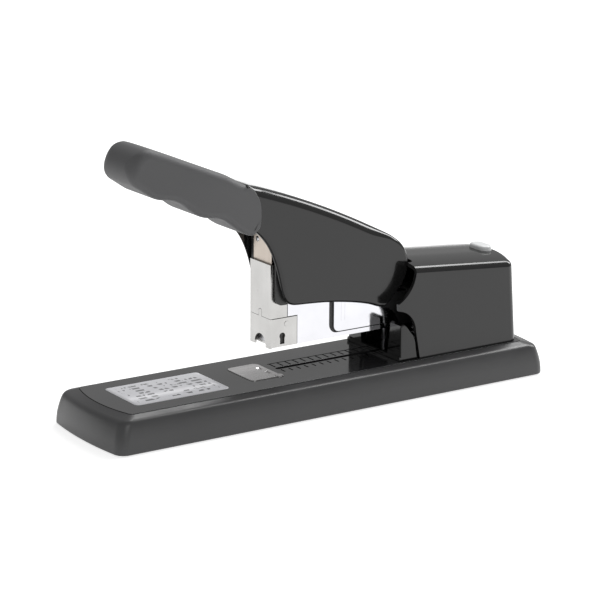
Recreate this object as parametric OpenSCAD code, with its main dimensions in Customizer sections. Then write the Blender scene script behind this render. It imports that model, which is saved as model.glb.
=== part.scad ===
// Heavy-duty desktop stapler with a front-loading magazine.
// Frame: origin under the middle of the base, +X to the rear, +Y to the far side, +Z up.
// The nose, the grip and the loading end point to -X.

/* [Base] */
// Length of the base over its bowed ends
base_l = 280; // [270:1:290]
// Width of the base at the floor
base_w = 71.5; // [70:0.5:74]
// Height of the top face of the base plate
plate_z = 19.6; // [19:0.1:20.5]
// Length of the base plate
plate_l = 261.2; // [258:0.2:262]
// Width of the base plate
plate_w = 55.6; // [54:0.2:56]

/* [Arm] */
// Outer width of the nose and the magazine
nose_w = 19.86; // [19.6:0.02:20]
// Front face of the nose
nose_x = -30.6; // [-31:0.1:-30]
// Lowest edge of the nose when the arm is up
nose_z = 34.5; // [34:0.1:35]
// Height of the arm's hinge pin
hinge_z = 30; // [29:0.5:31]
// Distance of the arm's hinge pin behind the middle of the base
hinge_x = 104; // [102:1:106]

/* [Handle] */
// Outer width of the handle shell
handle_w = 32; // [31:0.5:33]
// Outer width of the soft grip
grip_w = 33; // [32:0.5:34]
// Distance of the handle's pin behind the middle of the base
pin_x = 34; // [33:0.5:35]
// Height of the handle's pin
pin_z = 68; // [67:0.5:69]

/* [Rear cover] */
// Outer width of the rear cover
cover_w = 52; // [51:0.5:53]
// Wall of the rear cover
cover_t = 2.2; // [1.8:0.1:2.4]

/* [Staples] */
// Number of staples in the strip
staple_count = 38; // [10:1:38]
// Crown width of one staple
crown_w = 13; // [12.6:0.1:13.2]

/* [Hidden] */
$fn = 64;
plate_t = 2;            // base plate thickness
ledge_z = plate_z - plate_t;
shell_wall = 3;         // wall of the base shell
shell_foot_z = 0.6;     // the shell stops just above the floor
pan_z0 = 2;             // underside of the bottom pan
pan_z1 = 3.4;           // top of the bottom pan
end_bow = 2;            // how far the base ends bow out
plate_bow = 3.6;        // how far the plate ends bow out
gap = 0.15;             // assembly gap between fixed parts
slot_w = 3;             // width of the guide's slot
slot_x0 = -20.5;        // front end of the slot
slot_x1 = 62;           // rear end of the slot
base_screw_xy = [[-118, -27], [-118, 27], [0, -27], [0, 27], [118, -27], [118, 27]];
cover_screw_xy = [[64, -17.8], [64, 17.8], [112, -17.8], [112, 17.8]];
rivet_xy = [[74, -11], [74, 11], [117, -9.2], [117, 9.2]];
die_x = -28.4;          // forming grooves of the anvil
die_y = 4.3;
tick_pitch = 5;         // scale marks
tick_t = 0.08;

half_nose = nose_w / 2;
sheet = 1;              // thickness of the magazine's sheet metal
wall_out = half_nose - sheet - 0.23;   // outside of the inner frame
wall_in = wall_out - sheet;
front_inner = nose_x + 1.2;            // back of the nose's front wall
split_z = 50.8;         // joint between the nose plate and the cap
cap_x1 = -13.5;         // rear edge of the cap's sides
sleeve_x0 = -19.5;      // front edge of the sleeve above the cap
rail_floor_z = 36.2;
rail_top_z = 49.7;
rail_x0 = -27.9;
rail_x1 = 100;
core_y = 5.6;           // outside of the rail's core
rod_z = 44;
rod_r = 1.5;
driver_x0 = -29.2;
driver_x1 = -28.2;
driver_low = 53.6;      // lowest edge of the driver when the handle is up
driver_top = 96;
pusher_x = 9.2;         // front face of the pusher
link_x = -18;
link_z = 92;
link_r = 2.5;
hinge_r = 3.5;
pin_r = 3;
lever_in = 10.6;        // inner face of the handle's lever plates
lever_t = 1.5;
shell_in = 13.5;        // inner face of the handle shell
crown_r = 130;          // crown of the rear cover's roof
button_x = 117.5;
button_r = 4.2;
button_reach = 3.3;     // half distance between the button's round ends
button_top = 71.2;
latch_x = 108;
latch_z = 50;
guide_x = 44.6;         // front face of the paper guide
guide_y = 25.2;
guide_low = plate_z + 0.25;
core_slope = 22.3;      // slope of the handle's core in degrees
grip_x1 = -42.15;       // rear end of the grip

// ---- shared shapes ----

// A profile drawn in X and Z, given a width along Y
module side(w) {
  rotate([90, 0, 0]) linear_extrude(height = w, center = true) children();
}

// The same plate on both sides, between two distances from the middle plane
module cheeks(y0, y1) {
  for (s = [-1, 1])
    translate([0, s * (y0 + y1) / 2, 0]) side(y1 - y0) children();
}

module rounded_rect(l, w, r) {
  square([l, w - 2 * r], center = true);
  square([l - 2 * r, w], center = true);
  for (x = [-1, 1], y = [-1, 1])
    translate([x * (l / 2 - r), y * (w / 2 - r)]) circle(r);
}

// A rounded rectangle whose two ends bow outwards
module bowed_outline(l, w, r, bow) {
  half = w / 2 - r;
  end_r = (half * half + bow * bow) / (2 * bow);
  rounded_rect(l - 2 * bow, w, r);
  intersection() {
    square([l, 2 * half], center = true);
    for (s = [-1, 1]) translate([s * (l / 2 - end_r), 0]) circle(end_r, $fn = 180);
  }
}

module post(xy, z0, z1, r) {
  translate([xy[0], xy[1], z0]) cylinder(r = r, h = z1 - z0);
}

// A pin along Y
module cross_pin(x, z, r, w) {
  translate([x, 0, z]) rotate([90, 0, 0]) cylinder(r = r, h = w, center = true);
}

// Two rings around a cross pin, one on each side
module cross_rings(x, z, r_in, r_out, y0, y1) {
  cheeks(y0, y1) translate([x, z]) difference() {
    circle(r_out);
    circle(r_in);
  }
}

// A coil spring along Z, swept as one closed surface with squared ends
function coil_point(r, h, turns, t) = [r * cos(360 * turns * t), r * sin(360 * turns * t), h * t];
function ring_point(r, h, turns, t, wire, a) =
  let (c = coil_point(r, h, turns, t), out = [cos(360 * turns * t), sin(360 * turns * t), 0])
  c + wire * (cos(a) * out + sin(a) * [0, 0, 1]);
module coil(r, h, turns, wire, sides = 6, steps = 12) {
  n = turns * steps;
  rings = [for (i = [0 : n], k = [0 : sides - 1])
    ring_point(r, h - 2 * wire, turns, i / n, wire, -360 * k / sides) + [0, 0, wire]];
  walls = [for (i = [0 : n - 1], k = [0 : sides - 1], half = [0, 1])
    let (a = i * sides + k, b = i * sides + (k + 1) % sides, c = a + sides, d = b + sides)
    half == 0 ? [a, b, d] : [a, d, c]];
  first = [for (k = [1 : sides - 2]) [0, k + 1, k]];
  last = [for (k = [1 : sides - 2]) [n * sides, n * sides + k, n * sides + k + 1]];
  polyhedron(points = rings, faces = concat(walls, first, last), convexity = 10);
}

// ---- base ----

// Section of the base shell, from its half size at the foot; the sides lean in and the rim slopes
module base_section(foot, lean, rim) {
  polygon([
    [-foot, shell_foot_z], [foot, shell_foot_z], [foot - lean * 0.12, 8], [foot - lean, 17.3],
    [foot - rim, plate_z - 0.3], [rim - foot, plate_z - 0.3], [lean - foot, 17.3],
    [lean * 0.12 - foot, 8]
  ]);
}

module base_shell() color([0.2, 0.2, 0.21]) {
  difference() {
    intersection() {
      linear_extrude(height = plate_z) bowed_outline(base_l, base_w, 6, end_bow);
      rotate([90, 0, 90]) linear_extrude(height = base_l + 10, center = true)
        base_section(base_w / 2, 2.6, 7.6);
      side(base_w + 10) base_section(base_l / 2, 3, 9.1);
    }
    linear_extrude(height = ledge_z - 2.4)
      bowed_outline(base_l - 2 * shell_wall, base_w - 2 * shell_wall, 4, end_bow);
    linear_extrude(height = plate_z) rounded_rect(244, 42, 4);
    translate([0, 0, ledge_z]) linear_extrude(height = plate_t)
      rounded_rect(plate_l + 2 * gap, plate_w + 2 * gap, 3);
  }
  for (p = base_screw_xy) difference() {
    post(p, pan_z1, ledge_z - 2.4, 4);
    post(p, pan_z1 - 1, 12.5, 1.6);
  }
}

module bottom_pan() color([0.6, 0.6, 0.62]) difference() {
  translate([0, 0, pan_z0]) linear_extrude(height = pan_z1 - pan_z0)
    bowed_outline(base_l - 2 * shell_wall - 1, base_w - 2 * shell_wall - 1, 3.5, end_bow);
  for (p = base_screw_xy) post(p, pan_z0 - 1, pan_z1 + 1, 1.7);
}

module rubber_pad() color([0.12, 0.12, 0.12])
  linear_extrude(height = pan_z0) rounded_rect(256, 43, 8);

module base_screws() color([0.7, 0.7, 0.72]) for (p = base_screw_xy) {
  post(p, 0.7, pan_z0, 3);
  post(p, pan_z0, 12, 1.5);
}

module top_plate() color([0.1, 0.1, 0.1]) difference() {
  translate([0, 0, ledge_z]) linear_extrude(height = plate_t)
    bowed_outline(plate_l, plate_w, 3, plate_bow);
  translate([(slot_x0 + slot_x1) / 2, 0, ledge_z - 1]) linear_extrude(height = plate_t + 2)
    rounded_rect(slot_x1 - slot_x0, slot_w, slot_w / 2 - 0.01);
  translate([-34.5, 0, plate_z - 0.5]) linear_extrude(height = 1) rounded_rect(19.2, 26.8, 3);
  post([-26, -11.8], plate_z - 0.5, plate_z + 1, 2.4);
  for (p = cover_screw_xy) post(p, ledge_z - 1, plate_z + 1, 1.7);
  for (p = rivet_xy) post(p, ledge_z - 1, plate_z + 1, 2);
}

// Hardened plate that turns the staple legs inwards
module anvil() color([0.75, 0.73, 0.75]) difference() {
  translate([-34.5, 0, plate_z - 0.5]) linear_extrude(height = 0.9) rounded_rect(19, 26.6, 3);
  for (s = [-1, 1]) {
    translate([die_x, s * die_y, plate_z + 4.75]) rotate([0, 90, 0])
      cylinder(r = 5, h = 2, center = true);
  }
  post([-26, -11.8], plate_z - 1, plate_z + 1, 2.4);
}

module anvil_rivet() color([0.8, 0.8, 0.8]) post([-26, -11.8], plate_z - 0.5, plate_z + 0.6, 2.2);

module rating_label() color([0.75, 0.75, 0.77])
  translate([-88.5, 0, plate_z]) linear_extrude(height = 0.12) rounded_rect(57, 34.4, 2.5);

module scale_marks() color([0.04, 0.04, 0.04]) translate([0, 0, plate_z]) {
  translate([-20, 9, 0]) cube([64, 0.5, tick_t]);
  for (i = [0 : 12]) {
    translate([-19.3 + i * tick_pitch, 3, 0]) cube([0.7, 5.9, tick_t]);
    translate([-19.3 + i * tick_pitch, -6.8, 0]) cube([0.7, 4, tick_t]);
  }
}

module pivot_bracket() color([0.25, 0.25, 0.26]) {
  difference() {
    translate([95, 0, plate_z]) linear_extrude(height = 2) rounded_rect(54, 30, 1.5);
    for (p = rivet_xy) post(p, plate_z - 1, plate_z + 3, 2);
  }
  cheeks(13, 15) difference() {
    union() {
      polygon([[84, plate_z + 2], [122, plate_z + 2], [hinge_x + 9, hinge_z], [hinge_x - 9, hinge_z]]);
      translate([hinge_x, hinge_z]) circle(9);
    }
    translate([hinge_x, hinge_z]) circle(hinge_r + 0.02);
  }
}

module bracket_rivets() color([0.7, 0.7, 0.72]) for (p = rivet_xy) {
  post(p, ledge_z - 1, ledge_z, 3.2);
  post(p, ledge_z, plate_z + 2, 1.95);
  post(p, plate_z + 2, plate_z + 3.2, 3.2);
}

module arm_pin() color([0.75, 0.75, 0.77]) cross_pin(hinge_x, hinge_z, hinge_r, 34);

module arm_pin_bushes() color([0.8, 0.65, 0.3])
  cross_rings(hinge_x, hinge_z, hinge_r + 0.03, 5.5, wall_out + 0.15, 12.9);

module arm_pin_clips() color([0.2, 0.2, 0.2])
  cross_rings(hinge_x, hinge_z, hinge_r + 0.02, 5.8, 15.1, 16);

module lift_spring() color([0.7, 0.7, 0.7])
  translate([77, 0, plate_z + 2]) coil(6, 12.1, 4, 0.6);

// ---- rear cover and release button ----

// Outline of the rear cover from the side, moved inwards by d
module cover_profile(d) {
  difference() {
    polygon([
      [41, plate_z], [128.5 - d, plate_z], [124.9 - d, 63.6], [122.5, 68.5 - d], [41, 75.1 - d]
    ]);
    translate([pin_x - 0.5, 70.5]) circle(20.3 + d);
    translate([40.5, 35]) circle(13.5 + d);
    polygon([[30, plate_z - 1], [57 + d, plate_z - 1], [54 + d, 35], [30, 35]]);
  }
  translate([122.3, 63.75]) circle(2.6 - d);
}

module cover_block(d) {
  intersection() {
    side(cover_w) cover_profile(d);
    translate([38.5, 0, 0]) linear_extrude(height = 80)
      bowed_outline(180 - 2 * d, cover_w - 2 * d, 8 - d, 5);
    // the roof is crowned across its width
    translate([30, 0, 75.6 - crown_r]) rotate([0, 94.63, 0])
      cylinder(r = crown_r - d, h = 110, $fn = 180);
  }
}

module stadium(r, reach) {
  for (s = [-1, 1]) translate([0, s * reach]) circle(r);
  square([2 * r, 2 * reach], center = true);
}

module rear_cover() color([0.08, 0.08, 0.08]) {
  difference() {
    cover_block(0);
    translate([0, 0, -0.01]) intersection() {
      cover_block(cover_t);
      translate([62, -40, 0]) cube([100, 80, 100]);
    }
    translate([30, -cover_w / 2 + cover_t, 0]) cube([34, cover_w - 2 * cover_t, 68.3]);
    translate([40, -17.5, 60]) cube([18.3, 35, 20]);
    translate([button_x, 0, 50]) linear_extrude(height = 30) stadium(button_r + 0.3, button_reach);
  }
  for (p = cover_screw_xy) difference() {
    union() {
      post(p, plate_z, 34, 2.7);
      translate([p[0] - 0.8, p[1] > 0 ? p[1] : -24.5, plate_z]) cube([1.6, 24.5 - 17.8, 14.4]);
    }
    post(p, plate_z - 1, 31, 1.55);
  }
}

module cover_screws() color([0.7, 0.7, 0.72]) for (p = cover_screw_xy) {
  post(p, ledge_z - 1.6, ledge_z, 3);
  post(p, ledge_z, 30.5, 1.5);
}

// Strap under the cover's roof that guides the button's stem
module button_bracket() color([0.6, 0.6, 0.62]) {
  difference() {
    translate([button_x, 0, 57]) linear_extrude(height = 1.2) square([9.2, 27], center = true);
    post([button_x, 0], 50, 60, 2.3);
  }
  cheeks(12.3, 13.5) polygon([
    [button_x - 5, 57], [button_x + 4.6, 57], [button_x + 4.6, 63.4], [button_x - 5, 64.4]
  ]);
}

module button_spring() color([0.75, 0.75, 0.75])
  translate([button_x, 0, 58.3]) coil(3.4, 4, 3, 0.35);

module release_button() color([0.85, 0.85, 0.84]) {
  translate([button_x, 0, 63.6]) linear_extrude(height = button_top - 63.6)
    stadium(button_r, button_reach);
  translate([button_x, 0, 62.4]) linear_extrude(height = 1.2) rounded_rect(6, 16.5, 2);
  post([button_x, 0], 54.2, 62.4, 2);
}

// ---- paper guide ----

module paper_guide() color([0.05, 0.05, 0.05]) {
  difference() {
    union() {
      // foot across the slot
      translate([guide_x - 1.1, -guide_y, guide_low]) cube([12.4, 2 * guide_y, 1.9]);
      // front wall
      translate([guide_x, -guide_y, guide_low]) cube([2.2, 2 * guide_y, 40.2 - guide_low]);
      // side wings
      cheeks(guide_y - 2.2, guide_y) difference() {
        translate([guide_x, guide_low]) square([11.3, 40.2 - guide_low]);
        difference() {
          translate([49.4, 28.6]) square([20, 20]);
          translate([44.4, 30.2]) circle(10.1);
        }
        polygon([[53.9, 32], [57, 32], [57, guide_low - 1], [55.9, guide_low - 1]]);
      }
    }
    // arch that clears the magazine
    translate([guide_x - 5, 0, 0]) rotate([90, 0, 90]) linear_extrude(height = 20) polygon([
      [-12.4, guide_low + 1.9], [12.4, guide_low + 1.9], [15, 30], [15.4, 50], [-15.4, 50], [-15, 30]
    ]);
    post([51, 0], guide_low - 1, guide_low + 3, 1.5);
  }
}

module guide_slider() color([0.1, 0.1, 0.1]) difference() {
  union() {
    translate([46, -8, 15]) cube([10, 16, ledge_z - 15.3]);
    translate([46, -1.2, 17]) cube([10, 2.4, guide_low - 17]);
  }
  post([51, 0], 14, 21, 1);
}

module guide_screw() color([0.7, 0.7, 0.72]) {
  post([51, 0], 14.2, 15, 2.2);
  post([51, 0], 15, 21.6, 0.95);
}

// ---- arm and magazine ----

module arm_frame_profile() {
  difference() {
    union() {
      polygon([
        [rail_x0, 36.6], [-12.9, 36.6], [-12.9, 35], [96.5, 35], [98, 27], [110, 27], [111, 35],
        [112, 36], [112, 54], [46, 54], [41, 63], [28, 63], [24, 58], [-6, 58], [-14, 66],
        [rail_x0, 66]
      ]);
      translate([pin_x, pin_z]) circle(8);
      translate([hinge_x, hinge_z]) circle(7);
    }
    translate([pin_x, pin_z]) circle(pin_r + 0.05);
    translate([hinge_x, hinge_z]) circle(hinge_r + 0.05);
    translate([latch_x, latch_z]) circle(1.52);
  }
}

module arm_frame() color([0.3, 0.3, 0.31]) {
  cheeks(wall_in, wall_out) arm_frame_profile();
  // lips that carry the staple rail
  cheeks(6.6, wall_out) translate([-12.9, 35]) square([108, 1]);
  // straps across the frame
  translate([-7, -wall_out, 57]) cube([14, 2 * wall_out, 1.2]);
  translate([70, -wall_out, 33.8]) cube([14, 2 * wall_out, 1.2]);
  translate([60, -wall_out, 54]) cube([10, 2 * wall_out, 1.2]);
}

module sleeve_profile() {
  polygon([
    [cap_x1 + 0.2, 34.9], [42, 34.9], [42, 46.9], [34, 51.6], [22, 57], [10, 60],
    [sleeve_x0, 60], [sleeve_x0, split_z + 0.3], [cap_x1 + 0.2, split_z + 0.3]
  ]);
  intersection() {
    translate([42, 35.4]) circle(11.5);
    translate([40, 34.9]) square([20, 20]);
  }
}

// Bright side plates of the magazine, with a raised panel towards the rear
module arm_sleeve() color([0.85, 0.85, 0.87]) {
  cheeks(half_nose - sheet, half_nose) sleeve_profile();
  cheeks(half_nose, half_nose + 0.5) intersection() {
    sleeve_profile();
    union() {
      translate([13.6, 37.3]) square([60, 30]);
      translate([8.6, 42.3]) square([60, 30]);
      translate([13.6, 42.3]) circle(5);
    }
  }
  cheeks(wall_out, half_nose - sheet) {
    translate([-8, 50]) square([6, 6]);
    translate([28, 42]) square([6, 6]);
  }
}

module nose_plate() color([0.75, 0.74, 0.72]) {
  difference() {
    translate([nose_x, -half_nose, split_z + 0.12]) cube([1.2, nose_w, 80.6 - split_z - 0.12]);
    translate([nose_x - 1, -1.45, split_z]) cube([4, 2.9, 2.7]);
    translate([nose_x + 0.6, 0, split_z + 2.7]) rotate([0, 90, 0])
      cylinder(r = 1.45, h = 4, center = true);
  }
  cheeks(half_nose - sheet, half_nose) {
    translate([front_inner - 0.01, split_z + 0.12]) square([9.6, 15.2]);
    translate([front_inner - 0.01, 60]) square([1.1, 20.6]);
  }
  cheeks(wall_out, half_nose - sheet) translate([-26, 55]) square([4, 6]);
}

// ---- release latch ----

module latch_pin() color([0.7, 0.7, 0.72]) cross_pin(latch_x, latch_z, 1.5, 2 * wall_out + 0.6);

module latch_spring() color([0.7, 0.7, 0.7]) for (s = [-1, 1])
  translate([latch_x, s * 5 + 1.4, latch_z]) rotate([90, 0, 0]) coil(2.1, 2.8, 4, 0.3, 5, 10);

module rail_latch() color([0.6, 0.6, 0.62]) side(6) difference() {
  union() {
    translate([latch_x, latch_z]) circle(3.4);
    polygon([
      [95.2, 50], [97.8, 50], [97.8, 50.8], [latch_x, 48.6], [119.8, 50], [119.8, 51.8],
      [latch_x, 53.4], [95.2, 53.4]
    ]);
  }
  translate([latch_x, latch_z]) circle(1.54);
}

// ---- staple rail ----

module staple_rail() color([0.78, 0.78, 0.8]) difference() {
  union() {
    translate([rail_x0, -7.3, rail_floor_z]) cube([rail_x1 - rail_x0, 14.6, 1.2]);
    cheeks(core_y - 1, core_y) translate([rail_x0, rail_floor_z + 1.2])
      square([92 - rail_x0, rail_top_z - rail_floor_z - 1.2]);
    translate([rail_x0, -core_y, rail_floor_z + 1.2])
      cube([6, 2 * core_y, rail_top_z - rail_floor_z - 1.2]);
    translate([92, -core_y, rail_floor_z + 1.2])
      cube([8, 2 * core_y, rail_top_z - rail_floor_z - 1.2]);
  }
  translate([-25, 0, rod_z]) rotate([0, 90, 0]) cylinder(r = rod_r + 0.02, h = 120);
  translate([94.8, -10, rail_top_z - 2.6]) cube([3.4, 20, 5]);
  for (x = [-24, -17]) post([x, 0], rail_floor_z - 1, rail_floor_z + 2, 1.25);
}

module cap_side_profile() {
  difference() {
    translate([nose_x, 34.9]) square([cap_x1 - nose_x, split_z - 35.1]);
    translate([-24.3, 36.4]) square([2.8, 4.4]);
    translate([-22.9, 40.8]) circle(1.8);
  }
}

// Front end of the rail: closes the nose and comes out with the rail
module nose_cap() color([0.72, 0.71, 0.69]) {
  difference() {
    union() {
      translate([nose_x, -half_nose, nose_z]) cube([1.2, nose_w, split_z - nose_z]);
      translate([nose_x, -1.3, split_z - 0.5]) cube([1.2, 2.6, 3.2]);
      translate([nose_x + 0.6, 0, split_z + 2.7]) rotate([0, 90, 0])
        cylinder(r = 1.3, h = 1.2, center = true);
    }
    translate([nose_x - 1, -5.2, nose_z - 1]) cube([4, 10.4, 2.4]);
    translate([nose_x, 0, nose_z + 1.4]) rotate([0, 90, 0]) cylinder(r = 5.2, h = 4, center = true);
  }
  cheeks(half_nose - sheet, half_nose) cap_side_profile();
  cheeks(half_nose, half_nose + 0.25) translate([-20.2, 47.3]) circle(1.4);
  difference() {
    translate([-27.9, -half_nose + sheet, 35]) cube([cap_x1 + 27.9, nose_w - 2 * sheet, 1.2]);
    for (x = [-24, -17]) post([x, 0], 34, 38, 1.25);
  }
}

module cap_rivets() color([0.7, 0.7, 0.72]) for (x = [-24, -17]) {
  post([x, 0], 34.7, 35, 2);
  post([x, 0], 35, rail_floor_z + 1.2, 1.2);
}

module pusher_rod() color([0.8, 0.8, 0.82])
  translate([-24.5, 0, rod_z]) rotate([0, 90, 0]) cylinder(r = rod_r, h = 118);

module pusher_spring() color([0.7, 0.7, 0.72])
  translate([pusher_x + 13.2, 0, rod_z]) rotate([0, 90, 0]) coil(3.1, 69.3, 16, 0.4, 5, 10);

module staples() color([0.75, 0.75, 0.78]) for (i = [0 : staple_count - 1])
  translate([-27.7 + 0.97 * i, 0, 0]) {
    translate([0, -crown_w / 2, rail_top_z + 0.2]) cube([0.9, crown_w, 0.6]);
    for (s = [-1, 1]) translate([0, s * (crown_w / 2 - 0.3) - 0.3, rail_top_z - 12])
      cube([0.9, 0.6, 12.3]);
  }

module pusher() color([0.15, 0.15, 0.16]) difference() {
  union() {
    translate([pusher_x, -4.2, 39.6]) cube([13, 8.4, 11]);
    translate([pusher_x, -7, rail_top_z + 0.15]) cube([13, 14, 0.75]);
    for (s = [-1, 1]) translate([pusher_x, s * 6.45 - 0.55, 39.6]) cube([13, 1.1, 11]);
  }
  translate([5, 0, rod_z]) rotate([0, 90, 0]) cylinder(r = rod_r + 0.06, h = 30);
}

// ---- handle ----

// Outline of the handle shell from the side, moved inwards by d
module handle_profile(d) {
  difference() {
    intersection() {
      union() {
        polygon([
          [-42, 135], [-42, 99], [-26.2, 66], [-23, 60], [-18.5, 57.8], [30, 51.7 + d], [38, 48.8 + d],
          [42, 49.4 + d], [52.6 - d, 61], [54, 76], [30, 120]
        ]);
        translate([38.5, 71.3]) circle(17.6 - d);
      }
      translate([-189.5, -341.9]) circle(490 - d, $fn = 360);
      polygon([[-42, 135], [-42, 40], [53, 40], [60, 68], [51.5 - d, 84.5], [40, 92.5], [20, 135]]);
    }
    translate([-71, 61.5]) circle(46, $fn = 96);
    translate([-25, -132.7]) circle(190.5, $fn = 180);
  }
}

module handle_shell() color([0.1, 0.1, 0.1]) {
  difference() {
    side(handle_w) handle_profile(0);
    side(2 * shell_in) handle_profile(2.4);
    translate([-44, -shell_in, 40]) cube([104, 2 * shell_in, 20]);
    translate([-44, -shell_in, 40]) cube([25, 2 * shell_in, 58]);
    // the grip's core passes through the front
    translate([-44, -10.7, 105]) cube([6, 21.4, 18.5]);
  }
  cheeks(lever_in + lever_t, shell_in + 0.2) {
    translate([10, 76]) circle(4);
    translate([-12, 86]) circle(4);
  }
}

// Outline of the grip from the side, with finger hollows along its underside
module grip_profile() {
  difference() {
    union() {
      polygon([
        [grip_x1, 97.3], [grip_x1, 125.6], [-109.1, 153.6], [-121.7, 144.9], [-121.7, 138.6],
        [-118.4, 133.3], [-103.5, 126]
      ]);
      translate([-112.6, 145]) circle(9.3);
      translate([-115.8, 138.9]) circle(6);
    }
    for (i = [0 : 2]) translate([-103.2 + 27 * i, 91.4 - 12.6 * i]) circle(34, $fn = 128);
  }
}

module handle_grip() color([0.23, 0.23, 0.24]) difference() {
  intersection() {
    side(grip_w) grip_profile();
    // the far end is rounded in plan
    translate([-21.5, 0, 108.4]) rotate([0, core_slope, 0])
      translate([-17.5, 0, -60]) linear_extrude(height = 120) rounded_rect(182, grip_w, 11);
  }
  translate([-21.5, 0, 108.4]) rotate([0, core_slope, 0])
    translate([-97.3, -10.7, -4.85]) cube([100, 21.4, 9.7]);
}

// Steel core that carries the grip
module grip_core() color([0.5, 0.5, 0.52]) difference() {
  translate([-21.5, 0, 108.4]) rotate([0, core_slope, 0])
    translate([-97, -10.55, -4.7]) cube([97, 21.1, 9.4]);
  for (p = [[-26, 110.2], [-36, 114.3]]) cross_pin(p[0], p[1], 2.02, 40);
}

module core_rivets() color([0.7, 0.7, 0.72]) for (p = [[-26, 110.2], [-36, 114.3]])
  cross_pin(p[0], p[1], 2, 2 * (lever_in + lever_t) + 1.6);

module lever_profile() {
  difference() {
    union() {
      polygon([
        [-28.5, 62.5], [-24.5, 58.4], [-21, 58.4], [-15, 74], [20, 62], [28, 60.4], [42, 66],
        [41, 76], [30, 85], [-14, 100.6], [-20, 112], [-40, 119.4], [-40, 110], [-28.5, 104]
      ]);
      translate([pin_x, pin_z]) circle(9);
      translate([-24.5, 62.4]) circle(4);
    }
    translate([pin_x, pin_z]) circle(pin_r + 0.02);
    translate([link_x, link_z]) circle(link_r + 0.02);
    for (p = [[-26, 110.2], [-36, 114.3]]) translate(p) circle(2.02);
  }
}

module handle_lever() color([0.13, 0.13, 0.13]) {
  cheeks(lever_in, lever_in + lever_t) lever_profile();
  side(2 * lever_in) polygon([[-14, 97.2], [28, 82.3], [28, 83.8], [-14, 98.7]]);
}

module handle_pin() color([0.75, 0.75, 0.77]) cross_pin(pin_x, pin_z, pin_r, 26.6);

module handle_pin_clips() color([0.2, 0.2, 0.2])
  cross_rings(pin_x, pin_z, pin_r + 0.02, 5, 12.2, 13);

module handle_bushes() color([0.8, 0.65, 0.3])
  cross_rings(pin_x, pin_z, pin_r + 0.03, 5, wall_out + 0.15, lever_in - 0.05);

module link_pin() color([0.75, 0.75, 0.77]) cross_pin(link_x, link_z, link_r, 25.6);

module return_spring() color([0.7, 0.7, 0.7])
  translate([0, 0, 58.3]) coil(5.6, 31.6, 7, 0.7);

// ---- driver ----

module driver_blade() color([0.72, 0.68, 0.65]) difference() {
  union() {
    translate([driver_x0, -6.4, driver_low]) cube([1, 12.8, 27]);
    translate([driver_x0, -8.7, 79]) cube([1, 17.4, driver_top - 79]);
  }
  for (s = [-1, 1]) translate([driver_x0 - 1, s * 5, 92]) rotate([0, 90, 0])
    cylinder(r = 1.52, h = 4);
}

module driver_head() color([0.55, 0.55, 0.57]) difference() {
  translate([driver_x1, -7.4, 87]) cube([13.7, 14.8, 8.5]);
  side(20) translate([link_x, link_z]) {
    translate([-5.4, 0]) circle(link_r + 0.35);
    circle(link_r + 0.35);
    translate([-5.4, -link_r - 0.35]) square([5.4, 2 * link_r + 0.7]);
  }
  for (s = [-1, 1]) translate([driver_x1 - 1, s * 5, 92]) rotate([0, 90, 0])
    cylinder(r = 1.52, h = 2.6);
}

module driver_rivets() color([0.6, 0.6, 0.6]) for (s = [-1, 1])
  translate([driver_x0, s * 5, 92]) rotate([0, 90, 0]) cylinder(r = 1.5, h = 2.4);

base_shell();
bottom_pan();
rubber_pad();
base_screws();
top_plate();
anvil();
anvil_rivet();
rating_label();
scale_marks();
pivot_bracket();
bracket_rivets();
arm_pin();
arm_pin_bushes();
arm_pin_clips();
lift_spring();
rear_cover();
cover_screws();
button_bracket();
button_spring();
release_button();
paper_guide();
guide_slider();
guide_screw();
arm_frame();
arm_sleeve();
nose_plate();
latch_pin();
latch_spring();
rail_latch();
staple_rail();
nose_cap();
cap_rivets();
pusher_rod();
pusher_spring();
staples();
pusher();
handle_shell();
handle_grip();
grip_core();
core_rivets();
handle_lever();
handle_pin();
handle_pin_clips();
handle_bushes();
link_pin();
return_spring();
driver_blade();
driver_head();
driver_rivets();
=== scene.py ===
"""A heavy-duty desktop stapler: detailed shells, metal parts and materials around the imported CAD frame."""
import math

import bmesh
import bpy
from mathutils import Matrix, Vector


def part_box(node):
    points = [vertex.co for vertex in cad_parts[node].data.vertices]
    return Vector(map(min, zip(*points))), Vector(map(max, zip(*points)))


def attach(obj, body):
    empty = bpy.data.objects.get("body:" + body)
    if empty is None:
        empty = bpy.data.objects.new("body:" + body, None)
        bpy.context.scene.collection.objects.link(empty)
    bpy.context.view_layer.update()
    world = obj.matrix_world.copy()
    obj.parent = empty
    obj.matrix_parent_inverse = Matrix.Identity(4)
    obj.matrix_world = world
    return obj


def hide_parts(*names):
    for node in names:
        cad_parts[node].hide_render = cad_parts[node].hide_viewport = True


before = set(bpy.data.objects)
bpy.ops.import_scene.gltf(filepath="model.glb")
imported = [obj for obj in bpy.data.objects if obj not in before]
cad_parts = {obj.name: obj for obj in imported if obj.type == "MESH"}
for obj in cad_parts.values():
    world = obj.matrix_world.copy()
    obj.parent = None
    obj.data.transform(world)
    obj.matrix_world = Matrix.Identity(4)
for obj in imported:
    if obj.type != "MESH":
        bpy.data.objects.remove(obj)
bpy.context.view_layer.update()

MM = 0.001
SOLVER = "EXACT"
BEVEL_ANGLE = 50


# ---------------------------------------------------------------- camera, floor and light

CAMERA_PLACE = (-0.70137, -1.04132, 0.39451)
CAMERA_AZIMUTH = -33.77
CAMERA_ELEVATION = 15.13
CAMERA_ROLL = 0.39
LENS = 144.3


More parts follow.
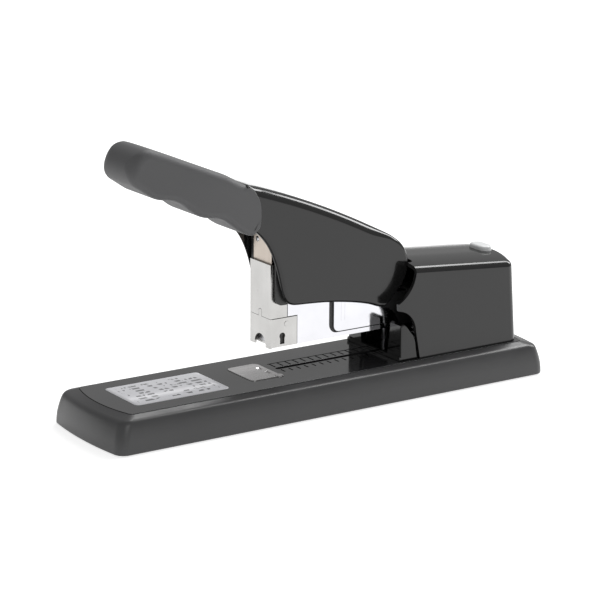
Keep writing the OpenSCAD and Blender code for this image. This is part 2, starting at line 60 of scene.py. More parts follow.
def make_camera():
    data = bpy.data.cameras.new("camera")
    data.lens = LENS
    data.sensor_width = 36
    data.clip_end = 20
    camera = bpy.data.objects.new("camera", data)
    bpy.context.scene.collection.objects.link(camera)
    azimuth, elevation = math.radians(CAMERA_AZIMUTH), math.radians(CAMERA_ELEVATION)
    back = Vector((math.sin(azimuth) * math.cos(elevation), -math.cos(azimuth) * math.cos(elevation),
                   math.sin(elevation)))
    right = Vector((math.cos(azimuth), math.sin(azimuth), 0))
    up = back.cross(right)
    roll = math.radians(CAMERA_ROLL)
    right_rolled = math.cos(roll) * right + math.sin(roll) * up
    up_rolled = math.cos(roll) * up - math.sin(roll) * right
    turn = Matrix((right_rolled, up_rolled, back)).transposed()
    camera.matrix_world = Matrix.Translation(CAMERA_PLACE) @ turn.to_4x4()
    bpy.context.scene.camera = camera


WORLD_STRENGTH = 0.42
FLOOR_HALF = 6
FLOOR_COLOR = (0.55, 0.55, 0.55)
FLOOR_GLOW = 0.72


def area_light(name, place, target, size, power):
    data = bpy.data.lights.new(name, "AREA")
    data.shape = "RECTANGLE"
    data.size, data.size_y = size
    data.energy = power
    light = bpy.data.objects.new(name, data)
    light.location = place
    light.rotation_euler = (Vector(target) - Vector(place)).to_track_quat("-Z", "Y").to_euler()
    bpy.context.scene.collection.objects.link(light)


def flat_sheet(name, half, material):
    mesh = bpy.data.meshes.new(name)
    corners = [(-half, -half, 0), (half, -half, 0), (half, half, 0), (-half, half, 0)]
    mesh.from_pydata(corners, [], [(0, 1, 2, 3)])
    mesh.materials.append(material)
    sheet = bpy.data.objects.new(name, mesh)
    bpy.context.scene.collection.objects.link(sheet)


def stage_material(name, color, glow):
    material = bpy.data.materials.new(name)
    material.use_nodes = True
    shader = material.node_tree.nodes["Principled BSDF"]
    shader.inputs["Base Color"].default_value = (*color, 1)
    shader.inputs["Roughness"].default_value = 0.9
    shader.inputs["Specular IOR Level"].default_value = 0.1
    shader.inputs["Emission Color"].default_value = (1, 1, 1, 1)
    shader.inputs["Emission Strength"].default_value = glow
    return material


def make_studio():
    bpy.context.scene.view_settings.view_transform = "Standard"
    world = bpy.data.worlds.new("studio")
    bpy.context.scene.world = world
    world.use_nodes = True
    background = world.node_tree.nodes["Background"]
    background.inputs["Color"].default_value = (1, 1, 1, 1)
    background.inputs["Strength"].default_value = WORLD_STRENGTH
    # a pale table that glows a little, so that it stays white with next to no shadow
    flat_sheet("floor", FLOOR_HALF, stage_material("floor", FLOOR_COLOR, FLOOR_GLOW))
    middle = (0, 0, 0.06)
    area_light("top_box", (0.88, 0.38, 1.36), middle, (1.15, 0.8), 22)
    area_light("front_fill", (-0.6, -1.9, 1.0), middle, (0.9, 0.9), 5)
    area_light("side_box", (1.5, -0.02, 0.84), middle, (0.5, 0.62), 9)


# ---------------------------------------------------------------- outlines

def arc(cx, cz, r, start, end, count):
    """Points on a circle from one angle to another, in degrees."""
    steps = [math.radians(start + (end - start) * i / count) for i in range(count + 1)]
    return [(cx + r * math.cos(a), cz + r * math.sin(a)) for a in steps]


def rounded_box(length, width, radius, count=8, cx=0.0, cy=0.0):
    """A rectangle with round corners, counter-clockwise from the right side."""
    points = []
    for k, (sx, sy) in enumerate(((1, 1), (-1, 1), (-1, -1), (1, -1))):
        points += arc(cx + sx * (length / 2 - radius), cy + sy * (width / 2 - radius), radius,
                      90 * k, 90 * k + 90, count)
    return points


def bowed_box(length, width, radius, bow, count=8, end_count=14):
    """A rounded rectangle whose ends bow outwards, counter-clockwise."""
    half = width / 2 - radius
    end_r = (half * half + bow * bow) / (2 * bow)
    spread = math.degrees(math.asin(half / end_r))
    points = []
    for side, turn in ((1, 0), (-1, 180)):
        corner_x = side * (length / 2 - bow - radius)
        points += arc(corner_x, -side * half, radius, turn - 90, turn - spread, count)
        centre = side * (length / 2 - end_r)
        points += arc(centre, 0, end_r, turn - spread, turn + spread, end_count)
        points += arc(corner_x, side * half, radius, turn + spread, turn + 90, count)
    return points


def spline(points, per_span=6):
    """A smooth line through the points, each span cut into equal steps."""
    out = []
    last = len(points) - 1
    for i in range(last):
        p0, p1, p2, p3 = (Vector(points[max(min(k, last), 0)]) for k in (i - 1, i, i + 1, i + 2))
        for step in range(per_span):
            t = step / per_span
            out.append(tuple(0.5 * ((2 * p1) + (p2 - p0) * t + (2 * p0 - 5 * p1 + 4 * p2 - p3) * t * t
                                    + (3 * p1 - p0 - 3 * p2 + p3) * t ** 3)))
    out.append(tuple(points[-1]))
    return out


# ---------------------------------------------------------------- mesh helpers, all sizes in mm

def new_object(name, bm):
    mesh = bpy.data.meshes.new(name)
    bm.to_mesh(mesh)
    bm.free()
    piece = bpy.data.objects.new(name, mesh)
    bpy.context.scene.collection.objects.link(piece)
    return piece


def loft(name, rings, close_first=True, close_last=True):
    """A closed skin through rings that have the same number of points."""
    bm = bmesh.new()
    rows = [[bm.verts.new(Vector(p) * MM) for p in ring] for ring in rings]
    count = len(rows[0])
    for low, high in zip(rows, rows[1:]):
        for i in range(count):
            j = (i + 1) % count
            bm.faces.new((low[i], low[j], high[j], high[i]))
    if close_first:
        bm.faces.new(list(reversed(rows[0])))
    if close_last:
        bm.faces.new(rows[-1])
    bmesh.ops.remove_doubles(bm, verts=bm.verts, dist=1e-7)
    bmesh.ops.recalc_face_normals(bm, faces=bm.faces)
    return new_object(name, bm)


def extrude(name, outline, span, axis="y"):
    """A solid from a flat outline: axis y takes (x, z) points, axis x takes (y, z), axis z takes (x, y)."""
    place = {"y": lambda p, t: (p[0], t, p[1]), "x": lambda p, t: (t, p[0], p[1]),
             "z": lambda p, t: (p[0], p[1], t)}[axis]
    return loft(name, [[place(p, t) for p in outline] for t in span])


def apply_modifiers(piece):
    bpy.context.view_layer.update()
    graph = bpy.context.evaluated_depsgraph_get()
    mesh = bpy.data.meshes.new_from_object(piece.evaluated_get(graph))
    old = piece.data
    piece.modifiers.clear()
    piece.data = mesh
    bpy.data.meshes.remove(old)


def combine(piece, other, operation):
    modifier = piece.modifiers.new("join", "BOOLEAN")
    modifier.operation = operation
    modifier.object = other
    modifier.solver = SOLVER
    apply_modifiers(piece)
    bpy.data.objects.remove(other)


def cut(piece, other):
    combine(piece, other, "DIFFERENCE")


def join(piece, other):
    combine(piece, other, "UNION")


def merge(name, pieces):
    """Several closed pieces kept apart in one object."""
    bm = bmesh.new()
    for piece in pieces:
        bm.from_mesh(piece.data)
    for piece in pieces:
        bpy.data.objects.remove(piece)
    return new_object(name, bm)


def bevel(piece, width):
    """Rounds the edges sharper than BEVEL_ANGLE."""
    bm = bmesh.new()
    bm.from_mesh(piece.data)
    bmesh.ops.remove_doubles(bm, verts=bm.verts, dist=2e-6)
    bmesh.ops.dissolve_limit(bm, angle_limit=math.radians(0.5), verts=bm.verts, edges=bm.edges)
    limit = math.radians(BEVEL_ANGLE)
    edges = [e for e in bm.edges if len(e.link_faces) == 2 and e.calc_face_angle(0) > limit]
    bmesh.ops.bevel(bm, geom=edges, offset=width * MM, offset_type="OFFSET", segments=2,
                    profile=0.5, affect="EDGES", clamp_overlap=True)
    bmesh.ops.remove_doubles(bm, verts=bm.verts, dist=1e-6)
    bm.to_mesh(piece.data)
    bm.free()


def smooth(piece, angle):
    """Smooth shading, apart from edges sharper than angle."""
    for polygon in piece.data.polygons:
        polygon.use_smooth = True
    piece.data.set_sharp_from_angle(angle=math.radians(angle))
    modifier = piece.modifiers.new("normals", "WEIGHTED_NORMAL")
    modifier.keep_sharp = True
    modifier.weight = 80


def finish_piece(piece, body, material, slot, *nodes):
    piece.data.materials.clear()
    piece.data.materials.append(material)
    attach(piece, body)
    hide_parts(*nodes)


# ---------------------------------------------------------------- materials

METAL_GRAIN_DEPTH = 0.00002


class Look:
    """One procedural material: a principled shader with small helpers for noise, bump and blends."""

    def __init__(self, name, color, roughness, metallic=0.0):
        self.material = bpy.data.materials.new(name)
        self.material.use_nodes = True
        self.tree = self.material.node_tree
        self.shader = self.tree.nodes["Principled BSDF"]
        self.set("Metallic", metallic)
        self.set("Base Color", (*color, 1))
        self.set("Roughness", roughness)
        self.coordinates = self.tree.nodes.new("ShaderNodeTexCoord")

    def set(self, socket, value):
        self.shader.inputs[socket].default_value = value

    def link(self, source, target):
        self.tree.links.new(source, target)

    def place(self, scale):
        mapping = self.tree.nodes.new("ShaderNodeMapping")
        mapping.inputs["Scale"].default_value = scale
        self.link(self.coordinates.outputs["Object"], mapping.inputs["Vector"])
        return mapping.outputs["Vector"]

    def noise(self, scale, detail=2.0, roughness=0.5, stretch=(1, 1, 1)):
        node = self.tree.nodes.new("ShaderNodeTexNoise")
        node.inputs["Scale"].default_value = scale
        node.inputs["Detail"].default_value = detail
        node.inputs["Roughness"].default_value = roughness
        self.link(self.place(stretch), node.inputs["Vector"])
        return node.outputs["Fac"]

    def ramp(self, value, low, high):
        """Spreads the middle of a noise from low to high."""
        node = self.tree.nodes.new("ShaderNodeMapRange")
        limits = {"From Min": 0.3, "From Max": 0.7, "To Min": low, "To Max": high}
        for socket, number in limits.items():
            node.inputs[socket].default_value = number
        self.link(value, node.inputs["Value"])
        return node.outputs["Result"]

    def mix(self, factor, a, b):
        node = self.tree.nodes.new("ShaderNodeMix")
        node.data_type = "RGBA"
        self.link(factor, node.inputs["Factor"])
        node.inputs[6].default_value = (*a, 1)
        node.inputs[7].default_value = (*b, 1)
        return node.outputs[2]

    def bump(self, height, strength, distance):
        node = self.tree.nodes.new("ShaderNodeBump")
        node.inputs["Strength"].default_value = strength
        node.inputs["Distance"].default_value = distance
        self.link(height, node.inputs["Height"])
        self.link(node.outputs["Normal"], self.shader.inputs["Normal"])

    def vary_color(self, low, high, scale):
        share = self.ramp(self.noise(scale, 3.0, 0.6), 0, 1)
        self.link(self.mix(share, low, high), self.shader.inputs["Base Color"])

    def vary_roughness(self, low, high, scale, stretch=(1, 1, 1)):
        value = self.ramp(self.noise(scale, 3.0, 0.6, stretch), low, high)
        self.link(value, self.shader.inputs["Roughness"])


def moulded(name, low, high, roughness, grain, grain_depth, shine=0.5):
    """Moulded plastic: slightly uneven colour and gloss over a fine grain."""
    look = Look(name, low, roughness[0])
    look.set("Specular IOR Level", shine)
    look.vary_color(low, high, 30)
    look.vary_roughness(roughness[0], roughness[1], 60)
    look.bump(look.noise(grain, 2), 0.35, grain_depth)
    return look.material


def metal(name, low, high, roughness, stretch=(1, 1, 1), grain=400):
    """Metal with a directional grain: stretch is small along the brushing."""
    look = Look(name, low, roughness[0], 1.0)
    look.vary_color(low, high, 45)
    look.vary_roughness(roughness[0], roughness[1], grain, stretch)
    look.bump(look.noise(grain, 3, 0.6, stretch), 0.25, METAL_GRAIN_DEPTH)
    return look.material


def make_looks():
    looks = {
        "base": moulded("base_plastic", (0.038, 0.038, 0.039), (0.044, 0.044, 0.045),
                        (0.30, 0.38), 2600, 0.00004),
        "plate": moulded("plate_enamel", (0.018, 0.018, 0.019), (0.023, 0.023, 0.024),
                         (0.08, 0.12), 900, 0.00002, 0.9),
        "gloss": moulded("gloss_plastic", (0.008, 0.008, 0.008), (0.010, 0.010, 0.010),
                         (0.10, 0.15), 500, 0.00001),
        "guide": moulded("guide_plastic", (0.002, 0.002, 0.002), (0.003, 0.003, 0.003),
                         (0.08, 0.12), 500, 0.00001),
        "grip": moulded("soft_grip", (0.068, 0.068, 0.070), (0.080, 0.080, 0.082),
                        (0.55, 0.65), 3200, 0.00006),
        "button": moulded("button_plastic", (0.64, 0.65, 0.65), (0.69, 0.70, 0.70),
                          (0.30, 0.36), 1500, 0.00002),
        "rubber": moulded("foot_rubber", (0.02, 0.02, 0.02), (0.03, 0.03, 0.03),
                          (0.75, 0.85), 1500, 0.00008),
        "black_steel": moulded("black_steel", (0.014, 0.014, 0.014), (0.02, 0.02, 0.02),
                               (0.30, 0.40), 900, 0.00003),
        "pusher": moulded("pusher_plastic", (0.02, 0.02, 0.022), (0.03, 0.03, 0.032),
                          (0.35, 0.45), 900, 0.00003),
        "nickel": metal("nickel_plate", (0.46, 0.455, 0.445), (0.53, 0.525, 0.515),
                        (0.20, 0.28), (1, 1, 0.1)),
        "anvil": metal("anvil_steel", (0.62, 0.61, 0.61), (0.70, 0.69, 0.69),
                       (0.24, 0.32), (0.1, 1, 1)),
        "chrome": metal("bright_chrome", (0.66, 0.66, 0.69), (0.72, 0.72, 0.75),
                        (0.07, 0.12), (0.2, 1, 1), 250),
        # driver steel: its warm pink tint is a painted reflection, laid over the steel's own grey
        "driver": metal("driver_steel", (0.50, 0.44, 0.385), (0.57, 0.505, 0.445),
                        (0.34, 0.44), (1, 1, 0.1)),
        "zinc": metal("zinc_steel", (0.55, 0.55, 0.57), (0.66, 0.66, 0.68), (0.28, 0.42), (0.1, 1, 1)),
        "spring": metal("spring_steel", (0.42, 0.42, 0.44), (0.52, 0.52, 0.54), (0.25, 0.35)),
        "brass": metal("brass_bush", (0.62, 0.46, 0.20), (0.72, 0.55, 0.27), (0.25, 0.35)),
        "staple": metal("staple_wire", (0.62, 0.62, 0.64), (0.72, 0.72, 0.74), (0.22, 0.32)),
        "ink": moulded("scale_ink", (0.004, 0.004, 0.004), (0.006, 0.006, 0.006),
                       (0.8, 0.9), 900, 0.00001, 0.05),
    }
    looks["label"] = make_label()
    return looks


def make_label():
    """Silver label with generic rows of grey tone in place of printing."""
    look = Look("label_foil", (0.60, 0.60, 0.64), 0.4)
    tree = look.tree
    low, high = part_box("rating_label")
    separate = tree.nodes.new("ShaderNodeSeparateXYZ")
    look.link(look.coordinates.outputs["Object"], separate.inputs[0])

    def math_node(operation, *values):
        node = tree.nodes.new("ShaderNodeMath")
        node.operation = operation
        for socket, value in zip(node.inputs, values):
            if hasattr(value, "default_value"):
                look.link(value, socket)
            else:
                socket.default_value = value
        return node.outputs[0]

    def band(value, start, end):
        above = math_node("GREATER_THAN", value, start)
        return math_node("MULTIPLY", above, math_node("LESS_THAN", value, end))

    row_start, row_pitch, margin_x, margin_y = 0.003, 0.0042, 0.004, 0.0035
    across = math_node("SUBTRACT", separate.outputs["Y"], low.y + row_start)
    row = math_node("FRACT", math_node("DIVIDE", across, row_pitch))
    in_row = band(row, 0.25, 0.75)
    stripe = look.noise(330, 1, 0.5, (1, 0.35, 1))
    words = math_node("GREATER_THAN", stripe, 0.52)
    inside = math_node("MULTIPLY", band(separate.outputs["X"], low.x + margin_x, high.x - margin_x),
                       band(separate.outputs["Y"], low.y + margin_y, high.y - margin_y))
    ink = math_node("MULTIPLY", math_node("MULTIPLY", in_row, words), inside)
    look.link(look.mix(ink, (0.74, 0.74, 0.77), (0.20, 0.20, 0.21)), look.shader.inputs["Base Color"])
    return look.material


# ---------------------------------------------------------------- rounded solids from a side outline

def resample(points, step):
    """The closed outline again, with points about step apart and its sharp corners kept."""
    out = []
    count = len(points)
    for i, point in enumerate(points):
        following = points[(i + 1) % count]
        length = math.dist(point, following)
        pieces = max(1, round(length / step))
        for k in range(pieces):
            t = k / pieces
            out.append((point[0] + (following[0] - point[0]) * t, point[1] + (following[1] - point[1]) * t))
    return out


def soften(points, amount):
    """Eases each point of a closed outline towards the middle of its neighbours."""
    count = len(points)
    return [tuple((1 - amount) * p + amount * 0.5 * (a + b)
                  for p, a, b in zip(points[i], points[i - 1], points[(i + 1) % count]))
            for i in range(count)]


def inward_normals(points):
    """Unit normals that point into an anticlockwise outline."""
    count = len(points)
    normals = []
    for i in range(count):
        (x0, z0), (x1, z1) = points[i - 1], points[(i + 1) % count]
        length = math.hypot(x1 - x0, z1 - z0) or 1
        normals.append((-(z1 - z0) / length, (x1 - x0) / length))
    return normals


def pillow(name, outline, half_width, radius, levels=6, warp=None):
    """A solid as wide as 2 * half_width with this side outline. radius(x, z) is the edge's rounding there,
    and warp(x, y, z) moves a point at the end."""
    normals = inward_normals(outline)
    radii = [radius(x, z) for x, z in outline]
    for _ in range(6):
        radii = [(radii[i - 1] + 2 * radii[i] + radii[(i + 1) % len(radii)]) / 4 for i in range(len(radii))]
    rings = []
    for side in (-1, 1):
        order = range(levels + 1) if side < 0 else range(levels, -1, -1)
        for k in order:
            angle = math.pi / 2 * k / levels
            ring = []
            for (x, z), (nx, nz), r in zip(outline, normals, radii):
                inset = r * (1 - math.sin(angle))
                y = side * (half_width - r * (1 - math.cos(angle)))
                point = (x + nx * inset, y, z + nz * inset)
                ring.append(warp(*point) if warp else point)
            rings.append(ring)
    return loft(name, rings)


def anticlockwise(points):
    area = sum(a[0] * b[1] - b[0] * a[1] for a, b in zip(points, points[1:] + points[:1]))
    return points if area > 0 else list(reversed(points))


def blend_value(value, low, high, at_low, at_high):
    """at_low below low, at_high above high, and a smooth step between."""
    t = max(0.0, min(1.0, (value - low) / (high - low)))
    t = t * t * (3 - 2 * t)
    return at_low + (at_high - at_low) * t


# ---------------------------------------------------------------- base

BASE_LENGTH, BASE_WIDTH = 280.0, 71.5


def make_base(looks):
    # inset along the length, inset across the width, height, corner radius, bow
    steps = [
        (18.0, 14.75, 15.2, 4.0, 0.5), (3.4, 3.4, 15.2, 3.0, 2.0), (3.0, 3.0, 0.6, 3.0, 2.0),
        (0.5, 0.5, 0.6, 5.8, 2.0), (0.1, 0.1, 0.9, 6.0, 2.0), (0.0, 0.0, 1.5, 6.0, 2.0),
        (0.15, 0.08, 4.0, 6.0, 2.0), (0.45, 0.25, 7.0, 6.1, 2.0), (0.95, 0.60, 10.0, 6.2, 2.1),
        (1.60, 1.10, 13.0, 6.3, 2.2), (2.15, 1.55, 15.0, 6.3, 2.3), (2.60, 1.95, 16.2, 6.2, 2.4),
        (3.15, 2.30, 16.95, 6.0, 2.5), (3.90, 2.75, 17.50, 5.6, 2.6), (4.90, 3.40, 17.90, 5.2, 2.8),
        (6.30, 4.40, 18.30, 4.6, 3.1), (8.90, 7.45, 19.25, 3.3, 3.5), (9.10, 7.62, 19.28, 3.2, 3.6),
        (9.22, 7.78, 19.15, 3.1, 3.6), (9.25, 7.80, 17.6, 3.0, 3.6), (18.0, 14.75, 17.6, 4.0, 0.5),
    ]
    rings = []
    for along, across, height, radius, bow in steps:
        outline = bowed_box(BASE_LENGTH - 2 * along, BASE_WIDTH - 2 * across, radius, bow)
        rings.append([(x, y, height) for x, y in outline])
    rings.append(rings[0])
    base = loft("base_body", rings, close_first=False, close_last=False)
    smooth(base, 40)
    finish_piece(base, "base", looks["base"], "shell_plastic", "base_shell")


# ---------------------------------------------------------------- handle

HANDLE_HALF = 16.0
GRIP_HALF = 16.5
HANDLE_WALL = 2.4
TOP_ARC = (-189.5, -341.9, 490.0)
TAIL_CENTRE = (38.5, 71.3)
TAIL_R = 17.6


def top_line(x, inset=0.0):
    """Height of the handle's top arc."""
    cx, cz, r = TOP_ARC
    return cz + math.sqrt((r - inset) ** 2 - (x - cx) ** 2)


def handle_outline():
    top = [(x, top_line(x)) for x in range(-49, 45, 3)]
    rear = arc(*TAIL_CENTRE, TAIL_R, 58, -38, 16)
    heel = spline([(52.4, 60.4), (48.0, 55.2), (44.0, 50.9), (41.0, 49.0), (37.0, 49.2), (30.0, 51.7),
                   (18.0, 54.4), (3.6, 56.5), (-8.0, 57.4), (-16.0, 57.8)], 4)
    front = spline([(-19.0, 58.1), (-22.2, 59.4), (-24.6, 62.2), (-26.2, 66.5), (-27.7, 73.0), (-29.6, 80.0),
                    (-32.2, 87.0), (-35.8, 93.5), (-41.0, 99.5), (-46.0, 103.0)], 4)
    return anticlockwise(top + rear + heel + front + [(-49.0, 105.0)])


def handle_radius(x, z):
    if x < -45:
        return 0.4
    on_top = z - top_line(x) > -6 and z > 76
    if on_top:
        return blend_value(x, 30, 48, 5.6, 2.6)
    if x > 40 and z > 56:
        return blend_value(z, 60, 84, 2.0, 2.6)
    return 2.3


def make_handle(looks):
    outline = soften(resample(handle_outline(), 1.3), 0.5)
    body = pillow("handle_body", outline, HANDLE_HALF, handle_radius)
    inner = [(x, top_line(x, HANDLE_WALL)) for x in range(-56, 45, 4)]
    inner += arc(*TAIL_CENTRE, TAIL_R - HANDLE_WALL, 58, -38, 12)
    inner += [(41.2, 52.0), (40.6, 40.0), (-56.0, 40.0)]
    inner = anticlockwise(resample(inner, 2.0))
    cut(body, pillow("handle_hollow", inner, HANDLE_HALF - HANDLE_WALL, lambda x, z: 2.0, 3))
    smooth(body, 38)
    finish_piece(body, "handle", looks["gloss"], "gloss_plastic", "handle_shell")


FINGER_PITCH = 27.0
FIRST_CREST = -103.5
GRIP_SLOPE = 0.4667


def crest_line(x):
    """Height of the sloping line that the crests between the finger hollows touch."""
    return 126.0 - GRIP_SLOPE * (x - FIRST_CREST)


def grip_underside(x):
    base = crest_line(x)
    phase = 2 * math.pi * (x - FIRST_CREST) / FINGER_PITCH
    depth = 1.5 * blend_value(x, -118, -106, 0.35, 1.0) * blend_value(x, -48, -43, 1.0, 0.4)
    return base + depth * (1 - math.cos(phase))


def grip_outline():
    top = [(-60.0, 133.3), (-80.0, 141.6), (-95.0, 147.9), (-102.0, 150.6)]
    end = spline([(-105.3, 151.7), (-109.0, 151.5), (-113.2, 149.5), (-116.4, 146.0), (-117.8, 141.8),
                  (-117.4, 137.4), (-115.2, 133.8), (-111.8, 131.4)], 5)
    bottom = [(x, grip_underside(x)) for x in range(-108, -45, 2)]
    rear = spline([(-44.2, 99.0), (-41.4, 101.6), (-40.5, 105.5), (-40.2, 110.5), (-40.5, 115.8),
                   (-42.3, 120.5), (-45.2, 124.9)], 4)
    return anticlockwise(top + end + bottom + rear)


def grip_radius(x, z):
    if z < 128.5 and x > -47.5 and z - grip_underside(x) > 4:
        return 0.7
    if z > crest_line(x) + 5:
        return blend_value(x, -118, -108, 5.0, 4.6)
    return blend_value(x, -118, -110, 5.0, 3.6)


def grip_warp(x, y, z):
    """The far end is rounded in plan: u is the distance from it along the sloping grip."""
    corner = 4.0
    end_x, end_z = -117.8, 141.8
    slope_x, slope_z = 0.925, -0.379
    u = max(0.0, (x - end_x) * slope_x + (z - end_z) * slope_z)
    if u >= corner:
        return x, y, z
    half = GRIP_HALF - corner + math.sqrt(corner ** 2 - (corner - u) ** 2)
    return x, y * half / GRIP_HALF, z


def make_grip(looks):
    outline = soften(resample(grip_outline(), 1.2), 0.6)
    grip = pillow("grip_sleeve", outline, GRIP_HALF, grip_radius, 8, grip_warp)
    smooth(grip, 45)
    finish_piece(grip, "handle", looks["grip"], "soft_grip", "handle_grip")


# ---------------------------------------------------------------- rear cover

COVER_FRONT = 36.0
COVER_HALF = 26.0
COVER_WALL = 2.2
COVER_LEAN = 3.0
COVER_REAR = 128.9
COVER_EDGE = 3.2
ROOF_START, ROOF_HEIGHT, ROOF_SLOPE = 30.0, 75.6, 0.081
CROWN_R = 130.0
DECK = 19.6


def roof_line(x, y):
    """The roof slopes to the rear and is crowned across its width."""
    crown = CROWN_R - math.sqrt(CROWN_R * CROWN_R - y * y)
    return ROOF_HEIGHT - ROOF_SLOPE * (x - ROOF_START) - crown


def cover_plan(front, rear, inset, bow, corner):
    """The cover from above: straight sides and a rear wall that bows outwards between round corners."""
    corner = max(corner - inset, 0.8)
    half = COVER_HALF - inset - corner
    corner_x = rear - bow - corner
    end_r = (half * half + bow * bow) / (2 * bow)
    spread = math.degrees(math.asin(half / end_r))
    side = [front + (corner_x - front) * i / 12 for i in range(12)]
    points = [(x, -COVER_HALF + inset) for x in side]
    points += arc(corner_x, -half, corner, -90, -spread, 8)
    points += arc(rear - end_r, 0, end_r, -spread, spread, 16)
    points += arc(corner_x, half, corner, spread, 90, 8)
    return points + [(x, COVER_HALF - inset) for x in reversed(side)]


def cover_block(name, front, foot, wall, edge):
    """The cover's outer form, or its hollow when wall is its thickness."""
    rings = []
    for share in (0.0, 0.2, 0.4, 0.6, 0.8, 1.0):
        plan = cover_plan(front, COVER_REAR - wall - COVER_LEAN * share, wall, 3.4 + 0.4 * share, 5.0)
        rings.append([(x, y, foot + share * (roof_line(x, y) - wall - edge - foot)) for x, y in plan])
    for k in range(1, 8):
        angle = math.pi / 2 * k / 7
        inset = edge * (1 - math.cos(angle))
        plan = cover_plan(front, COVER_REAR - wall - COVER_LEAN - inset, wall + inset, 3.8, 5.0 + wall)
        rings.append([(x, y, roof_line(x, y) - wall - edge * (1 - math.sin(angle))) for x, y in plan])
    # the roof's middle follows the crown
    top = rings[-1]
    for share in (0.8, 0.6, 0.4, 0.2):
        rings.append([(x, y * share, roof_line(x, y * share) - wall) for x, y, z in top])
    return loft(name, rings)


def make_cover(looks):
    cover = cover_block("cover_shell", COVER_FRONT, DECK, 0.0, COVER_EDGE)
    front = [(20.0, 10.0), (57.0, 10.0), (57.0, DECK)] + arc(40.5, 35.0, 13.5, 2, 82, 14)
    front += arc(33.5, 70.5, 20.3, -65, 3, 14) + [(54.2, 90.0), (20.0, 90.0)]
    cut(cover, extrude("cover_front", front, (-40, 40)))
    cut(cover, cover_block("cover_hollow", 20.0, DECK - 6, COVER_WALL, 1.0))
    cut(cover, extrude("cover_recess", rounded_box(20, 35, 3.5, 6, 48.3, 0), (62, 80), "z"))
    low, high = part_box("release_button")
    middle = (low.x + high.x) / 2 / MM
    cut(cover, extrude("button_hole", rounded_box(9.0, 15.6, 4.49, 10, middle, 0), (60, 75), "z"))
    smooth(cover, 38)
    finish_piece(cover, "base", looks["gloss"], "gloss_plastic", "rear_cover")


def make_button(looks):
    low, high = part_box("release_button")
    middle = (low.x + high.x) / 2 / MM
    top, length, width = high.z / MM, 8.4, 15.0
    steps = [(0, 62.4), (0, top - 1.4), (0.12, top - 0.85), (0.45, top - 0.4), (1.0, top - 0.1), (1.7, top)]
    rings = [[(x, y, z) for x, y in rounded_box(length - 2 * d, width - 2 * d, 4.18 - d, 10, middle, 0)]
             for d, z in steps]
    stem = [[(middle + x, y, z) for x, y in arc(0, 0, 2.0, 0, 351, 43)] for z in (54.2, 62.4)]
    button = loft("push_button", rings)
    join(button, loft("button_stem", stem))
    join(button, extrude("button_flange", rounded_box(6, 16.5, 2, 8, middle, 0), (62.4, 63.6), "z"))
    smooth(button, 35)
    finish_piece(button, "button", looks["button"], "white_plastic", "release_button")


# ---------------------------------------------------------------- paper guide

GUIDE_HALF = 25.2
GUIDE_FRONT = 44.6
GUIDE_FLOOR = 21.8


def make_guide(looks):
    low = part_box("paper_guide")[0].z / MM
    wing = spline([(GUIDE_FRONT + 1.2, 40.2), (47.2, 40.1), (49.2, 38.2), (51.2, 35.6), (53.3, 33.2),
                   (54.6, 30.2), (55.2, 26.6), (55.6, 23.0), (55.9, low)], 4)
    outline = anticlockwise([(GUIDE_FRONT, low), (GUIDE_FRONT, 39.4)] + wing)
    guide = pillow("guide_fence", resample(outline, 1.0), GUIDE_HALF,
                   lambda x, z: 0.05 if z < low + 0.4 else 1.0, 4)
    arch = [(-12.4, GUIDE_FLOOR), (12.4, GUIDE_FLOOR)]
    arch += spline([(12.6, 23), (13.4, 28), (14.5, 34), (15.2, 44)], 4)
    arch += spline([(-15.2, 44), (-14.5, 34), (-13.4, 28), (-12.6, 23)], 4)
    cut(guide, extrude("guide_arch", arch, (38, 64), "x"))
    for side in (-1, 1):
        pocket = rounded_box(20, 11, 0.8, 3, GUIDE_FRONT + 2.2 + 10, side * 17.6)
        cut(guide, extrude("guide_pocket", pocket, (GUIDE_FLOOR, 60), "z"))
    toe = rounded_box(3.2, 2 * GUIDE_HALF, 0.9, 4, GUIDE_FRONT + 0.5, 0)
    join(guide, extrude("guide_toe", toe, (low, 21.75), "z"))
    bevel(guide, 0.35)
    smooth(guide, 38)
    finish_piece(guide, "guide", looks["guide"], "guide_plastic", "paper_guide")


# ---------------------------------------------------------------- magazine

def make_sleeve(looks):
    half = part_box("nose_plate")[1].y / MM
    sheet = 1.0
    outline = [(-13.3, 34.9)] + arc(42, 35.4, 11.4, -2, 88, 14)
    outline += [(42, 46.9), (34, 51.6), (22, 57), (10, 60), (-19.5, 60), (-19.5, 51.1), (-13.3, 51.1)]
    # the rear panel starts at an open step that turns into a fine line above the lower edge
    step = [(44.0, 37.45), (44.0, 37.95), (13.8, 37.95)] + arc(13.8, 41.25, 3.3, 270, 180, 8)
    step += [(10.5, 62.0), (7.3, 62.0), (7.3, 42.4)] + arc(12.3, 42.4, 4.95, 180, 270, 8)
    pieces = []
    for side in (-1, 1):
        wall = extrude("sleeve_wall", anticlockwise(resample(outline, 2.5)),
                       sorted((side * (half - sheet), side * half)))
        cut(wall, extrude("sleeve_step", anticlockwise(step), (-20, 20)))
        bevel(wall, 0.25)
        pieces.append(wall)
        for x in (15.2, 17.6):
            rib = [(x, 43.5), (x + 0.35, 43.5), (x + 0.35, 59.0), (x, 59.0)]
            pieces.append(extrude("sleeve_rib", rib, sorted((side * (half - 0.1), side * (half + 0.12)))))
    sleeve = merge("magazine_sleeve", pieces)
    smooth(sleeve, 30)
    finish_piece(sleeve, "arm", looks["chrome"], "bright_chrome", "arm_sleeve")


# ---------------------------------------------------------------- CAD nodes that stay

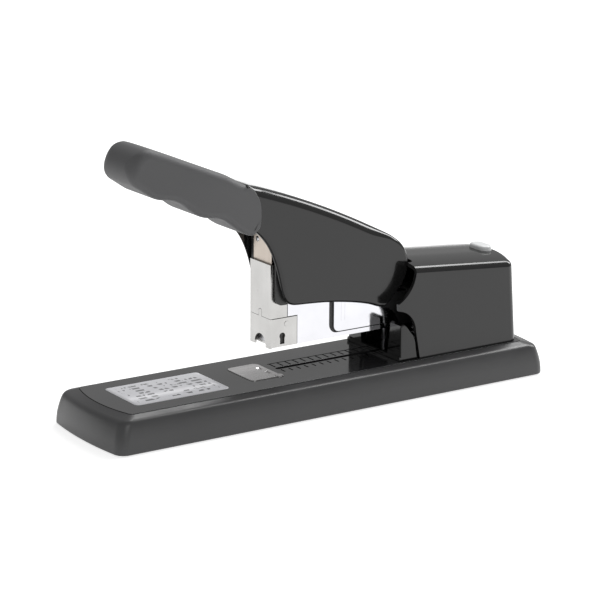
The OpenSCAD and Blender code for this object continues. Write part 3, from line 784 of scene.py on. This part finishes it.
# node: material, edge rounding in mm
KEPT = {
    "bottom_pan": ("zinc", 0.3), "rubber_pad": ("rubber", 0.5), "base_screws": ("zinc", 0.2),
    "top_plate": ("plate", 0.35), "anvil": ("anvil", 0.15), "anvil_rivet": ("anvil", 0.2),
    "rating_label": ("label", 0.0), "scale_marks": ("ink", 0.0), "pivot_bracket": ("black_steel", 0.3),
    "bracket_rivets": ("zinc", 0.3), "arm_pin": ("zinc", 0.3), "arm_pin_bushes": ("brass", 0.2),
    "arm_pin_clips": ("spring", 0.15), "lift_spring": ("spring", 0.0), "cover_screws": ("zinc", 0.2),
    "button_bracket": ("zinc", 0.15), "button_spring": ("spring", 0.0), "guide_slider": ("guide", 0.3),
    "guide_screw": ("zinc", 0.15), "arm_frame": ("black_steel", 0.2), "nose_plate": ("nickel", 0.22),
    "latch_pin": ("zinc", 0.2), "latch_spring": ("spring", 0.0), "return_spring": ("spring", 0.0),
    "rail_latch": ("zinc", 0.2), "staple_rail": ("zinc", 0.2), "nose_cap": ("nickel", 0.22),
    "cap_rivets": ("zinc", 0.1), "pusher_rod": ("zinc", 0.2), "pusher_spring": ("spring", 0.0),
    "staples": ("staple", 0.12), "pusher": ("pusher", 0.3), "grip_core": ("black_steel", 0.3),
    "core_rivets": ("zinc", 0.3), "handle_lever": ("black_steel", 0.25), "handle_pin": ("zinc", 0.3),
    "handle_pin_clips": ("spring", 0.15), "handle_bushes": ("brass", 0.2), "link_pin": ("zinc", 0.3),
    "driver_blade": ("driver", 0.12), "driver_head": ("driver", 0.3), "driver_rivets": ("zinc", 0.0),
}


def dress(node, material, rounding):
    """Gives a CAD node its material and, by modifiers, welded faces and rounded edges."""
    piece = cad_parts[node]
    piece.data.materials.clear()
    piece.data.materials.append(material)
    weld = piece.modifiers.new("weld", "WELD")
    weld.merge_threshold = 2e-6
    if rounding:
        flat = piece.modifiers.new("flat", "DECIMATE")
        flat.decimate_type = "DISSOLVE"
        flat.angle_limit = math.radians(0.4)
        edges = piece.modifiers.new("edges", "BEVEL")
        edges.width = rounding * MM
        edges.segments = 3
        edges.limit_method = "ANGLE"
        edges.angle_limit = math.radians(BEVEL_ANGLE)
        normals = piece.modifiers.new("normals", "WEIGHTED_NORMAL")
        normals.keep_sharp = True
        normals.weight = 90
    for polygon in piece.data.polygons:
        polygon.use_smooth = True


make_camera()
make_studio()
looks = make_looks()
make_base(looks)
make_handle(looks)
make_grip(looks)
make_cover(looks)
make_button(looks)
make_guide(looks)
make_sleeve(looks)
for node, (look, rounding) in KEPT.items():
    dress(node, looks[look], rounding)
